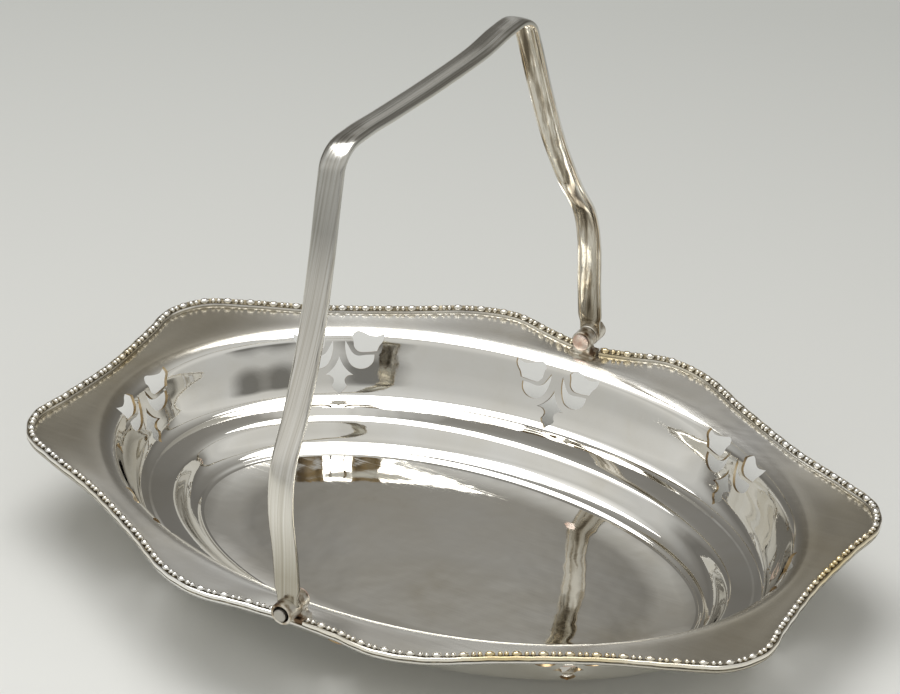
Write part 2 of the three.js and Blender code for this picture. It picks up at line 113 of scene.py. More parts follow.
def finished_object(name, bm, materials):
    """An object at the origin from a bmesh whose places are already real."""
    mesh = bpy.data.meshes.new(name)
    bm.to_mesh(mesh)
    bm.free()
    for material in materials:
        mesh.materials.append(material)
    piece = bpy.data.objects.new(name, mesh)
    bpy.context.collection.objects.link(piece)
    return piece


FLOOR_HALF = 6
FLOOR_NEAR = -0.5
FLOOR_FAR = 0.7

# Matt paper: next to no gloss, so it takes a soft shadow and no highlight
paper, tree, shader = new_material("matt_backdrop_paper")
place = add_node(tree, "ShaderNodeTexCoord").outputs["Object"]
turned = add_node(tree, "ShaderNodeVectorRotate", {"Vector": place, "Angle": -VIEW_AZIMUTH},
                  rotation_type="Z_AXIS").outputs["Vector"]
depth = add_node(tree, "ShaderNodeSeparateXYZ", {"Vector": turned}).outputs["Y"]
share = add_node(tree, "ShaderNodeMapRange", {"Value": depth, "From Min": FLOOR_NEAR,
                                              "From Max": FLOOR_FAR}).outputs["Result"]
# Painted shade: the paper's colour darkens towards the back, where the light falls off
painted_falloff_greys = add_node(tree, "ShaderNodeValToRGB", {"Fac": share},
                 [(0.35, "#e2e2de"), (0.5, "#d3d3cf"), (0.82, "#bcbdb9")])
tree.links.new(painted_falloff_greys.outputs["Color"], shader.inputs["Base Color"])
shader.inputs["Roughness"].default_value = 0.9
shader.inputs["Specular IOR Level"].default_value = 0.1

bm = bmesh.new()
bmesh.ops.create_grid(bm, x_segments=1, y_segments=1, size=FLOOR_HALF)
table_top = finished_object("table_top", bm, [paper])


# Studio light
# A large soft box hangs over the dish. The room is light on the camera's side and overhead, darker
# behind the dish and at its sides, and a few plain shapes in it show in the metal.
SOFT_BOX_PLACE = Vector((-0.31, 0.117, 1.25))
SOFT_BOX_AIM = Vector((-0.19, -0.103, 0))
SOFT_BOX_SIDES = (1, 0.85)
SOFT_BOX_WATTS = 10
ROOM_STRENGTH = 1.04
MIDDLE_BAND = (0.02, 0.07)
# Shapes in the room as direction, reach and shade: the camera, two stands on its right and a white
# card on the left
ROOM_SHAPES = [
    ((-0.06, -0.94, 0.31), 0.22, "#757471"),
    ((0.44, -0.83, 0.33), 0.2, "#757471"),
    ((0.64, -0.7, 0.31), 0.2, "#757471"),
    ((-0.5, 0.05, 0.86), 0.36, "#ffffff"),
]

lamp_data = bpy.data.lights.new("soft_box_top", "AREA")
lamp_data.shape = "RECTANGLE"
lamp_data.size, lamp_data.size_y = SOFT_BOX_SIDES
lamp_data.energy = SOFT_BOX_WATTS
lamp = bpy.data.objects.new("soft_box_top", lamp_data)
lamp.location = SOFT_BOX_PLACE
lamp.rotation_mode = "QUATERNION"
lamp.rotation_quaternion = (SOFT_BOX_AIM - SOFT_BOX_PLACE).to_track_quat("-Z", "Y")
bpy.context.collection.objects.link(lamp)

world = bpy.data.worlds.new("studio")
bpy.context.scene.world = world
world.use_nodes = True
tree = world.node_tree
direction = add_node(tree, "ShaderNodeTexCoord").outputs["Generated"]
turned = add_node(tree, "ShaderNodeVectorRotate", {"Vector": direction, "Angle": -VIEW_AZIMUTH},
                  rotation_type="Z_AXIS").outputs["Vector"]
parts = add_node(tree, "ShaderNodeSeparateXYZ", {"Vector": turned}).outputs
nearness = add_node(tree, "ShaderNodeMath", {0: parts["Y"], 1: -1}, operation="MULTIPLY").outputs[0]
angle = add_node(tree, "ShaderNodeMath", {0: parts["Z"], 1: nearness}, operation="ARCTAN2").outputs[0]
# 0 at the horizon on the camera's side, 0.5 overhead, 1 at the far horizon
arc = add_node(tree, "ShaderNodeMath", {0: angle, 1: math.pi}, operation="DIVIDE").outputs[0]
middle = add_node(tree, "ShaderNodeValToRGB", {"Fac": arc}, [
    (0, "#b4b4b2"), (0.1, "#b4b4b2"), (0.21, "#cbcbc9"), (0.35, "#cccccb"), (0.62, "#dededc"),
    (0.757, "#dededc"), (0.783, "#bdbcb9"), (0.8, "#a8a7a3"), (0.817, "#918f8a"), (0.832, "#8b8984"),
    (0.848, "#adaba7"), (0.866, "#cfcfcd"), (1, "#bcbcba"),
]).outputs["Color"]
sides = add_node(tree, "ShaderNodeValToRGB", {"Fac": arc}, [
    (0, "#bcbcba"), (0.1, "#bfbfbd"), (0.2, "#d0d0ce"), (0.32, "#d8d8d6"), (0.44, "#c8c8c6"),
    (0.53, "#c8c8c6"), (0.61, "#b6b6b4"), (0.68, "#9a9996"), (0.74, "#817f7b"), (0.83, "#6e6c68"),
    (0.92, "#72706c"), (1, "#8c8a86"),
]).outputs["Color"]
# A narrow band up the middle of the room differs from its sides
across = add_node(tree, "ShaderNodeMath", {0: parts["X"]}, operation="ABSOLUTE").outputs[0]
aside = add_node(tree, "ShaderNodeMapRange", {"Value": across, "From Min": MIDDLE_BAND[0],
                                              "From Max": MIDDLE_BAND[1]}).outputs["Result"]
sky = add_node(tree, "ShaderNodeMixRGB", {"Fac": aside, "Color1": middle, "Color2": sides})
for place, reach, shade in ROOM_SHAPES:
    offset = add_node(tree, "ShaderNodeVectorMath", {0: turned, 1: place}, operation="DISTANCE")
    share = add_node(tree, "ShaderNodeMapRange", {"Value": offset.outputs["Value"], "From Min": reach,
                                                  "From Max": reach / 3}).outputs["Result"]
    sky = add_node(tree, "ShaderNodeMixRGB", {"Fac": share, "Color1": sky.outputs["Color"],
                                              "Color2": linear(shade)})
tree.links.new(sky.outputs["Color"], tree.nodes["Background"].inputs["Color"])
tree.nodes["Background"].inputs["Strength"].default_value = ROOM_STRENGTH


# Dish
# The dish is one sheet of silver-plated metal, pressed over a die to its stepped oval well. The flange
# spreads from the oval mouth to a lobed outline, and eight ornaments are pierced through the wall.
def smooth_through(points, steps, closed=False):
    """A smooth curve through points, with the same number of steps between each two."""
    count = len(points)
    spans = count if closed else count - 1
    line = []
    for i in range(spans):
        if closed:
            p0, p1, p2, p3 = (points[(i + k - 1) % count] for k in range(4))
        else:
            p1, p2 = points[i], points[i + 1]
            p0 = points[i - 1] if i else p1 * 2 - p2
            p3 = points[i + 2] if i + 2 < count else p2 * 2 - p1
        d1, d2, d3 = ((b - a).length ** 0.5 for a, b in ((p0, p1), (p1, p2), (p2, p3)))
        m1 = p2 - p1 - (p2 - p0) * (d2 / (d1 + d2)) + (p1 - p0) * (d2 / d1)
        m2 = p2 - p1 - (p3 - p1) * (d2 / (d2 + d3)) + (p3 - p2) * (d2 / d3)
        for k in range(steps):
            t = k / steps
            line.append(p1 * (2 * t ** 3 - 3 * t ** 2 + 1) + m1 * (t ** 3 - 2 * t ** 2 + t)
                        + p2 * (3 * t ** 2 - 2 * t ** 3) + m2 * (t ** 3 - t ** 2))
    if not closed:
        line.append(points[-1])
    return line


def evenly_spaced(loop, count):
    """Points at equal distances round a closed line, and the line's length."""
    path = loop + loop[:1]
    reach = [0]
    for a, b in zip(path, path[1:]):
        reach.append(reach[-1] + (b - a).length)
    even = []
    k = 0
    for i in range(count):
        wanted = reach[-1] * i / count
        while reach[k + 1] < wanted:
            k += 1
        share = (wanted - reach[k]) / (reach[k + 1] - reach[k])
        even.append(path[k].lerp(path[k + 1], share))
    return even, reach[-1]


HINGE_HALF_WIDTH = 108.5
LOBE = (34, 113.3)
CORNER = (148.4, 46)
END_HALF_LENGTH = 145.3
# A quarter of the bead line in millimetres, from the hinge by the lobe and the corner to the narrow end
QUARTER_OUTLINE = [(0, HINGE_HALF_WIDTH), (17, 110.4), LOBE, (50.5, 109), (73, 94.7), (103, 77.3),
                   (127, 66.8), (141.5, 58.9), CORNER, (147, 29), (END_HALF_LENGTH, 0)]
HINGE_DIP = 1.8 * MM
END_DIP = 0.5 * MM
RIM_STEPS = 24
quarter = [Vector((x, y, 0)) * MM for x, y in QUARTER_OUTLINE]
half = quarter + [Vector((p.x, -p.y, 0)) for p in quarter[-2::-1]]
outline = half + [Vector((-p.x, p.y, 0)) for p in half[-2:0:-1]]
rim_line = smooth_through(outline, RIM_STEPS, closed=True)


def fade(distance, span):
    """A smooth fall from 1 at no distance to 0 at the span."""
    t = max(0, 1 - abs(distance) / span)
    return t * t * (3 - 2 * t)


def rim_dip(point):
    """How far the rim lies under the bead line beside a point of the outline."""
    return HINGE_DIP * fade(point.x, LOBE[0] * MM) + END_DIP * fade(point.y, CORNER[1] * MM)


def rim_stations(count):
    """Even points round the rim, from the back hinge by the right end, with their outward way."""
    line, length = evenly_spaced(rim_line, count)
    stations = []
    for i, point in enumerate(line):
        along = line[(i + 1) % count] - line[i - 1]
        stations.append((point, Vector((-along.y, along.x, 0)).normalized()))
    return stations, length


MOUTH_HALF_LENGTH = 133 * MM
MOUTH_HALF_WIDTH = 96 * MM
SIDE_DRAW = 1.13
SHEET = 1.2 * MM
FLANGE_OVERHANG = 1.4 * MM
FLANGE_DROP = 1.6 * MM
BORDER_INNER = 2 * MM
# Section of the well in millimetres, as inset from the oval mouth and depth under the bead line
WELL_SECTION = [(-3.5, 2.6), (-2, 2.95), (-0.6, 3.5), (0.8, 4.25), (2.2, 5.5), (3.2, 7.7), (5.4, 14),
                (7.7, 19.4), (9.3, 22.8), (10.9, 25), (13.1, 26.1), (15.6, 26.5), (19, 27.2),
                (21.8, 27.9), (23.7, 28.8), (25.2, 30.8), (26.9, 33.4), (28.8, 35.2), (30.8, 36.1),
                (32.3, 36.6), (33.3, 37.2), (34.6, 37.5)]
SECTION_STEPS = 4
DISH_COLUMNS = 320
FLOOR_RINGS = (0.8, 0.5, 0.2)
WELD = MM / 1000


def well_point(rim_point, inset, depth):
    """A point on an oval of the well, beside a point of the rim."""
    angle = math.atan2(rim_point.y / MOUTH_HALF_WIDTH, rim_point.x / MOUTH_HALF_LENGTH)
    return Vector((
        (MOUTH_HALF_LENGTH - inset) * math.cos(angle),
        (MOUTH_HALF_WIDTH - inset * SIDE_DRAW) * math.sin(angle),
        BEAD_LINE_Z - depth,
    ))


def dish_column(point, out):
    """The upper face of the dish from the edge of the flange to the edge of the floor."""
    flange_z = Vector((0, 0, BEAD_LINE_Z - FLANGE_DROP - rim_dip(point)))
    edge = point + out * FLANGE_OVERHANG + flange_z
    beside_border = point - out * BORDER_INNER + flange_z
    well = [well_point(point, inset * MM, depth * MM) for inset, depth in WELL_SECTION]
    knots = [edge, point + flange_z, beside_border, beside_border.lerp(well[0], 0.5), *well]
    return smooth_through(knots, SECTION_STEPS)


def skin_over(rows):
    """A sheet of quads through rows of places, merged where a row or a place repeats the first."""
    bm = bmesh.new()
    bmesh.ops.create_grid(bm, x_segments=len(rows[0]) - 1, y_segments=len(rows) - 1, size=1)
    for vert, place in zip(bm.verts, (place for row in rows for place in row)):
        vert.co = place
    bmesh.ops.remove_doubles(bm, verts=bm.verts, dist=WELD)
    bmesh.ops.recalc_face_normals(bm, faces=bm.faces)
    bm.faces.index_update()
    return bm


def through_modifiers(piece):
    """Puts the result of a piece's modifiers into its mesh and removes them."""
    seen = bpy.context.evaluated_depsgraph_get()
    mesh = bpy.data.meshes.new_from_object(piece.evaluated_get(seen))
    piece.modifiers.clear()
    piece.data = mesh


columns = []
for point, out in rim_stations(DISH_COLUMNS)[0]:
    column = dish_column(point, out)
    centre = Vector((0, 0, column[-1].z))
    columns.append(column + [centre.lerp(column[-1], share) for share in FLOOR_RINGS] + [centre])

# Polished silver plate: a mirror with soft dents, rubbed lines along the dish and faint yellow tarnish.
# The flange is satin, with painted shade that makes it darker and browner towards the narrow ends. The
# rubbed lines are finer than a pixel, so they are drawn about a millimetre wide.
TARNISH_WIDTH = 55.6 * MM
LINE_LENGTH = 25 * MM
LINE_WIDTH = 1.11 * MM
DENT_WIDTH = 16.7 * MM
FLANGE_FROM_Z = 34.2 * MM
FLANGE_TO_Z = 35.8 * MM
DARKER_ENDS_FROM_X = 85 * MM
DARKER_ENDS_TO_X = 130 * MM
FLANGE_SATIN = 0.19
silver, tree, shader = new_material("polished_silver_plate")
place = add_node(tree, "ShaderNodeTexCoord").outputs["Object"]
tarnish_and_painted_shade = add_node(tree, "ShaderNodeTexNoise", {"Vector": place, "Scale": 1 / TARNISH_WIDTH,
                                                "Detail": 5, "Roughness": 0.6}).outputs["Fac"]
plate = add_node(tree, "ShaderNodeValToRGB", {"Fac": tarnish_and_painted_shade},
                 [(0.35, "#f0efeb"), (0.6, "#e9e6de"), (0.75, "#dcd6c8")]).outputs["Color"]
parts = add_node(tree, "ShaderNodeSeparateXYZ", {"Vector": place}).outputs
flange = add_node(tree, "ShaderNodeMapRange", {"Value": parts["Z"], "From Min": FLANGE_FROM_Z,
                                               "From Max": FLANGE_TO_Z}).outputs["Result"]
across = add_node(tree, "ShaderNodeMath", {0: parts["X"]}, operation="ABSOLUTE").outputs[0]
# Painted shade: the flange is coloured darker towards the narrow ends, for the darker reflection there
outer = add_node(tree, "ShaderNodeMapRange", {"Value": across, "From Min": DARKER_ENDS_FROM_X,
                                              "From Max": DARKER_ENDS_TO_X,
                                              "To Max": flange}).outputs["Result"]
painted_darker_ends = add_node(tree, "ShaderNodeMixRGB", {"Fac": outer, "Color1": plate,
                                              "Color2": linear("#d5d0c5")}, blend_type="MULTIPLY")
tree.links.new(painted_darker_ends.outputs["Color"], shader.inputs["Base Color"])
along = add_node(tree, "ShaderNodeMapping", {
    "Vector": place,
    "Scale": (1 / LINE_LENGTH, 1 / LINE_WIDTH, 1 / LINE_WIDTH),
}).outputs["Vector"]
scratches = add_node(tree, "ShaderNodeTexNoise", {"Vector": along, "Scale": 1, "Detail": 3}).outputs["Fac"]
rub = add_node(tree, "ShaderNodeMapRange", {"Value": scratches, "From Min": 0.4, "From Max": 0.75,
                                            "To Min": 0.02, "To Max": 0.07}).outputs["Result"]
satin = add_node(tree, "ShaderNodeMath", {0: flange, 1: FLANGE_SATIN, 2: rub}, operation="MULTIPLY_ADD")
tree.links.new(satin.outputs[0], shader.inputs["Roughness"])
dents = add_node(tree, "ShaderNodeTexNoise", {"Vector": place, "Scale": 1 / DENT_WIDTH,
                                              "Detail": 2}).outputs["Fac"]
soft = add_node(tree, "ShaderNodeBump", {"Height": dents, "Strength": 0.22, "Distance": 0.4 * MM})
fine = add_node(tree, "ShaderNodeBump", {"Height": scratches, "Strength": 0.02, "Distance": 0.2 * MM,
                                         "Normal": soft.outputs["Normal"]})
tree.links.new(fine.outputs["Normal"], shader.inputs["Normal"])
shader.inputs["Metallic"].default_value = 1

# Copper, bare where the plate is cut or worn off at an edge: a warm brown gleam in uneven patches
COPPER_PATCH = 8.33 * MM
copper, tree, shader = new_material("copper_at_worn_edges")
place = add_node(tree, "ShaderNodeTexCoord").outputs["Object"]
wear = add_node(tree, "ShaderNodeTexNoise", {"Vector": place, "Scale": 1 / COPPER_PATCH,
                                             "Detail": 3}).outputs["Fac"]
browns = add_node(tree, "ShaderNodeValToRGB", {"Fac": wear},
                  [(0.35, "#8c785c"), (0.55, "#c4ab82"), (0.7, "#e8dcc4")])
tree.links.new(browns.outputs["Color"], shader.inputs["Base Color"])
shader.inputs["Metallic"].default_value = 1
shader.inputs["Roughness"].default_value = 0.3

dish = finished_object("dish_sheet", skin_over(columns + columns[:1]), [silver, copper])
wall = dish.modifiers.new("sheet", "SOLIDIFY")
wall.thickness = SHEET
wall.offset = -1
wall.use_even_offset = True
through_modifiers(dish)

PIERCING_COUNT = 8
# The ring of ornaments is turned this far past the hinge line, as on the real dish
PIERCING_TURN = 4 * MM
PIERCING_INSET = 6.2 * MM
PIERCING_DEPTH = 14.6 * MM
PIERCING_LEAN = math.radians(65)
CUTTER_REACH = 6 * MM
CURVE_STEPS = 4
OVAL_SAMPLES = 720
# Cosine of a face's turn from the plain wall, under which it is a side of the cut
SIDE_LIMIT = 0.6
# Outlines on the wall in millimetres, across and up the slope; each is a ring of curves that meet at
# points, and the spear's other side is its mirror image
PETAL = [
    [(4.9, 11), (6, 12.4), (7.4, 13), (9.4, 12.5), (11.2, 11.6), (12.6, 11.1), (14, 10.9), (15.8, 11.3),
     (17.6, 12)],
    [(17.6, 12), (17.5, 10.3), (16.8, 8.8), (15.5, 7.2), (14.6, 5.2)],
    [(14.6, 5.2), (12, 4.9), (9.4, 4.8), (7.8, 5), (6.6, 5.8), (5.8, 7), (5.6, 8.4), (5.4, 9.8), (4.9, 11)],
]
CUP = [
    [(2.4, 9.4), (2.3, 7), (2.6, 4.6), (3.2, 2.4), (4.1, 0.6), (5.1, -0.6), (6.4, -1.3), (8.2, -1.7),
     (10, -1.5), (11.6, -0.7), (12.9, 0.6), (13.5, 2.2), (13.6, 3.9)],
    [(13.6, 3.9), (10.6, 3.8), (7.4, 3.5), (5.9, 4), (4.8, 5.1), (3.6, 7.2), (2.4, 9.4)],
]
SPEAR_SIDE = [
    [(0, 3.4), (0.4, 2.1), (1, 0.8), (1.7, -0.5), (2.6, -1.6), (3.9, -2.9), (5.5, -4)],
    [(5.5, -4), (3.5, -4.3), (2.2, -5.5), (2.2, -6.9), (2.9, -8.1)],
    [(2.9, -8.1), (2.2, -9.4), (1, -10.4), (0, -11.6)],
]


def drawn(arcs, flip=1):
    """The points of an outline from its curves, turned over to the other side by a flip of -1."""
    points = []
    for arc in arcs:
        curve = smooth_through([Vector((x * flip, y, 0)) * MM for x, y in arc], CURVE_STEPS)
        points += curve[:-1]
    return points


def cutter(points, placing):
    """A prism through the wall over an outline."""
    bm = bmesh.new()
    face = bm.faces.new([bm.verts.new(p - Vector((0, 0, CUTTER_REACH))) for p in points])
    grown = bmesh.ops.extrude_face_region(bm, geom=[face])["geom"]
    verts = [g for g in grown if isinstance(g, bmesh.types.BMVert)]
    bmesh.ops.translate(bm, verts=verts, vec=(0, 0, 2 * CUTTER_REACH))
    bmesh.ops.recalc_face_normals(bm, faces=bm.faces)
    bmesh.ops.transform(bm, matrix=placing, verts=bm.verts)
    return bm


spear_side = drawn(SPEAR_SIDE)
spear_tip = Vector((*SPEAR_SIDE[-1][-1], 0)) * MM
spear = spear_side + [spear_tip] + [Vector((-p.x, p.y, 0)) for p in reversed(spear_side[1:])]
ornament = [drawn(PETAL), drawn(PETAL, -1), drawn(CUP), drawn(CUP, -1), spear]
oval_length = MOUTH_HALF_LENGTH - PIERCING_INSET
oval_width = MOUTH_HALF_WIDTH - PIERCING_INSET * SIDE_DRAW
oval = [Vector((oval_length * math.cos(a), oval_width * math.sin(a), BEAD_LINE_Z - PIERCING_DEPTH))
        for a in (2 * math.pi * i / OVAL_SAMPLES for i in range(OVAL_SAMPLES))]
oval, oval_reach = evenly_spaced(oval, OVAL_SAMPLES)
cutters = bmesh.new()
for i in range(PIERCING_COUNT):
    centre = oval[round(OVAL_SAMPLES * (i / PIERCING_COUNT + PIERCING_TURN / oval_reach))]
    out = Vector((centre.x / oval_length ** 2, centre.y / oval_width ** 2, 0)).normalized()
    across = Vector((-out.y, out.x, 0))
    slope = out * math.cos(PIERCING_LEAN) + Vector((0, 0, math.sin(PIERCING_LEAN)))
    placing = Matrix((across, slope, across.cross(slope))).transposed().to_4x4()
    placing.translation = centre - Vector((0, 0, rim_dip(centre)))
    for points in ornament:
        bm = cutter(points, placing)
        mesh = bpy.data.meshes.new("prism")
        bm.to_mesh(mesh)
        cutters.from_mesh(mesh)
        bpy.data.meshes.remove(mesh)
        bm.free()
punch = finished_object("punch", cutters, [copper])

plain = bmesh.new()
plain.from_mesh(dish.data)
plain.normal_update()
plain_tree = BVHTree.FromBMesh(plain)
plain.faces.ensure_lookup_table()
cut = dish.modifiers.new("piercing", "BOOLEAN")
cut.operation = "DIFFERENCE"
cut.solver = "MANIFOLD"
cut.object = punch
through_modifiers(dish)
bpy.data.objects.remove(punch)


def shaded_as(mesh, tree, bm, side_material):
    """Gives a cut mesh the shading of the surface that it was cut from, and its cut sides a material."""
    smooth = []
    for vert in mesh.vertices:
        place, _, index, _ = tree.find_nearest(vert.co)
        corners = bm.faces[index].verts
        pulls = [1 / max((place - v.co).length, WELD) for v in corners]
        normal = sum((v.normal * pull for v, pull in zip(corners, pulls)), Vector())
        smooth.append(normal.normalized())
    normals = [None] * len(mesh.loops)
    for face in mesh.polygons:
        face.use_smooth = True
        side = any(face.normal.dot(smooth[v]) < SIDE_LIMIT for v in face.vertices)
        if side:
            face.material_index = side_material
        for loop, v in zip(face.loop_indices, face.vertices):
            normals[loop] = face.normal if side else smooth[v]
    mesh.normals_split_custom_set(normals)


shaded_as(dish.data, plain_tree, plain, side_material=1)
plain.free()
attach(dish, "tray")
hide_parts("dish")


# Beaded border
# A stamped silver wire is soldered round the edge of the dish in two halves, which end beside the
# hinge lugs. Small oval beads alternate with pairs of smaller reels on a strip with a thin outer lip.
BEAD_PITCH = 9 * MM
BEAD_RADIUS = 1.6 * MM
REEL_RADIUS = 1.2 * MM
# Shapes as shares of the radius, across the strip, along it and upwards
BEAD_SHAPE = (0.8, 1.15, 0.66)
REEL_SHAPE = (0.95, 0.75, 0.8)
BEAD_LIFT = 0.35 * MM
# Places along the pitch as shares of it
BEAD_PLACE = 0.25
REEL_PLACES = (0.63, 0.87)
BORDER_END = 5.4 * MM
BORDER_STATIONS = 1600
STEPS_PER_PITCH = 6
SCALLOP = 0.2 * MM
SCALLOPED_FROM = 1
BORDER_CREASE = 40
# Section of the strip in millimetres, as offset outwards from the bead line and height over it, and
# the numbers of its sides that are rubbed bright
STRIP_SECTION = [(-0.95, -1.52), (1.9, -1.52), (2.05, -1.3), (2.1, -0.8), (2.1, -0.3), (1.95, 0.15),
                 (1.6, 0.35), (1.25, 0.25), (0.85, -0.1), (0.4, -0.25), (0, -0.25), (-0.45, -0.35),
                 (-0.75, -0.7), (-0.95, -1.2)]
STRIP_WORN_SIDES = (3, 4, 5, 12, 13)

# Silver plate rubbed bright on the beads and the lip: a soft gleam, yellower in broad patches
YELLOW_PATCH = 71.4 * MM
border_silver, tree, shader = new_material("worn_silver_beads")
place = add_node(tree, "ShaderNodeTexCoord").outputs["Object"]
broad = add_node(tree, "ShaderNodeTexNoise", {"Vector": place, "Scale": 1 / YELLOW_PATCH,
                                              "Detail": 2}).outputs["Fac"]
silvers = add_node(tree, "ShaderNodeValToRGB", {"Fac": broad},
                   [(0.45, "#f7f5f0"), (0.58, "#f1ebdd"), (0.7, "#e6d3a6")])
tree.links.new(silvers.outputs["Color"], shader.inputs["Base Color"])
shader.inputs["Metallic"].default_value = 1
shader.inputs["Roughness"].default_value = 0.2

# Patina, left between the beads where no cloth reaches: a dark olive with paler grains
PATINA_GRAIN = 2 * MM
patina, tree, shader = new_material("patina_between_beads")
place = add_node(tree, "ShaderNodeTexCoord").outputs["Object"]
grain = add_node(tree, "ShaderNodeTexNoise", {"Vector": place, "Scale": 1 / PATINA_GRAIN,
                                              "Detail": 3}).outputs["Fac"]
olives = add_node(tree, "ShaderNodeValToRGB", {"Fac": grain},
                  [(0.35, "#463f31"), (0.55, "#736a57"), (0.7, "#a39982")])
tree.links.new(olives.outputs["Color"], shader.inputs["Base Color"])
shader.inputs["Metallic"].default_value = 0.9
shader.inputs["Roughness"].default_value = 0.4

rim, rim_length = rim_stations(BORDER_STATIONS)


def rim_at(distance):
    """The bead line and its outward way at a distance round the rim from the back hinge."""
    share = distance / rim_length * BORDER_STATIONS
    first = int(share)
    point, out = rim[first % BORDER_STATIONS]
    next_point, next_out = rim[(first + 1) % BORDER_STATIONS]
    point = point.lerp(next_point, share - first)
    return point + Vector((0, 0, BEAD_LINE_Z - rim_dip(point))), out.lerp(next_out, share - first)


def shade_round(mesh, degrees):
    """Smooth shading with sharp edges where faces turn by more than an angle."""
    mesh.shade_smooth()
    mesh.set_sharp_from_angle(angle=math.radians(degrees))


for number, node in enumerate(("border_right", "border_left")):
    start = number * rim_length / 2 + BORDER_END
    reach = rim_length / 2 - 2 * BORDER_END
    pitches = round(reach / BEAD_PITCH)
    rows = []
    for i in range(pitches * STEPS_PER_PITCH + 1):
        point, out = rim_at(start + reach * i / (pitches * STEPS_PER_PITCH))
        bulge = SCALLOP * (1 - math.cos(2 * math.pi * (i / STEPS_PER_PITCH - BEAD_PLACE))) / 2
        row = []
        for offset, rise in STRIP_SECTION:
            pinch = SCALLOP - bulge if offset > SCALLOPED_FROM else 0
            row.append(point + out * (offset * MM - pinch) + Vector((0, 0, rise * MM)))
        rows.append(row)
    bm = skin_over([row + row[:1] for row in rows])
    for face in bm.faces:
        worn = face.index % len(STRIP_SECTION) in STRIP_WORN_SIDES
        face.material_index = 0 if worn else 1
    bmesh.ops.holes_fill(bm, edges=[edge for edge in bm.edges if edge.is_boundary])
    bmesh.ops.recalc_face_normals(bm, faces=bm.faces)
    kinds = [(BEAD_PLACE, BEAD_RADIUS, BEAD_SHAPE)]
    kinds += [(share, REEL_RADIUS, REEL_SHAPE) for share in REEL_PLACES]
    for i in range(pitches):
        for share, radius, shape in kinds:
            point, out = rim_at(start + reach * (i + share) / pitches)
            seat = Matrix.Translation(point + Vector((0, 0, BEAD_LIFT)))
            turn = Matrix.Rotation(math.atan2(out.y, out.x), 4, "Z")
            bmesh.ops.create_icosphere(bm, subdivisions=2, radius=radius,
                                       matrix=seat @ turn @ Matrix.Diagonal((*shape, 1)))
    border = finished_object(node + "_wire", bm, [border_silver, patina])
    shade_round(border.data, BORDER_CREASE)
    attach(border, "tray")
    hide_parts(node)


# Hinge lugs
# A short cast tube with a foot is soldered on the flange in the border's place, at the middle of each
# long side. Flux and tarnish have darkened it.
HINGE_Z = BEAD_LINE_Z + 3 * MM
LUG_RADIUS = 4 * MM
LUG_BORE = 2.6 * MM
LUG_INNER_Y = 103.6 * MM
LUG_TUBE_LENGTH = 5 * MM
LUG_FOOT_END_Y = 109.9 * MM
LUG_SILL_WIDTH = 9.8 * MM
LUG_SILL_HEIGHT = 1.6 * MM
LUG_SILL_DEPTH = 5.3 * MM
EDGE_ROUND = 0.3 * MM
ROUND_STEPS = 48
HINGE_CREASE = 35
# Section of the foot in millimetres across the hinge line, as half widths and heights over the axis
LUG_FOOT = [(5, -6.1), (4.8, -5.2), (4.1, -4.6), (3.4, -3.9), (2.9, -2.8)]

# Plate and solder darkened by flux: a half dull brown mottle over grey
FLUX_SPOT = 3.85 * MM
tarnished, tree, shader = new_material("tarnished_plate_and_solder")
place = add_node(tree, "ShaderNodeTexCoord").outputs["Object"]
stain = add_node(tree, "ShaderNodeTexNoise", {"Vector": place, "Scale": 1 / FLUX_SPOT,
                                              "Detail": 4}).outputs["Fac"]
mottle = add_node(tree, "ShaderNodeValToRGB", {"Fac": stain},
                  [(0.36, "#6b5642"), (0.45, "#b3a692"), (0.57, "#e4dfd4")])
tree.links.new(mottle.outputs["Color"], shader.inputs["Base Color"])
shader.inputs["Metallic"].default_value = 0.9
shader.inputs["Roughness"].default_value = 0.35


def turned_about_hinge(bm, profile, closed):
    """Spins a profile of radii and places along Y about the hinge axis."""
    verts = [bm.verts.new((radius, y, HINGE_Z)) for radius, y in profile]
    ends = verts[1:] + verts[:1] if closed else verts[1:]
    edges = [bm.edges.new(pair) for pair in zip(verts, ends)]
    bmesh.ops.spin(bm, geom=verts + edges, cent=(0, 0, HINGE_Z), axis=(0, 1, 0), angle=2 * math.pi,
                   steps=ROUND_STEPS, use_merge=True)
    bmesh.ops.remove_doubles(bm, verts=bm.verts, dist=WELD)
    bmesh.ops.recalc_face_normals(bm, faces=bm.faces)


def tube_profile(inner, outer, y0, y1, bevel):
    """The section of a tube with its outer edges rounded off."""
    return [(inner, y0), (outer - bevel, y0), (outer, y0 + bevel), (outer, y1 - bevel),
            (outer - bevel, y1), (inner, y1)]


def hinge_piece(name, bm, side, materials):
    """A piece of the back hinge, or turned half round the dish for the front one."""
    if side < 0:
        bmesh.ops.transform(bm, matrix=Matrix.Rotation(math.pi, 4, "Z"), verts=bm.verts)
    piece = finished_object(name, bm, materials)
    shade_round(piece.data, HINGE_CREASE)
    return piece


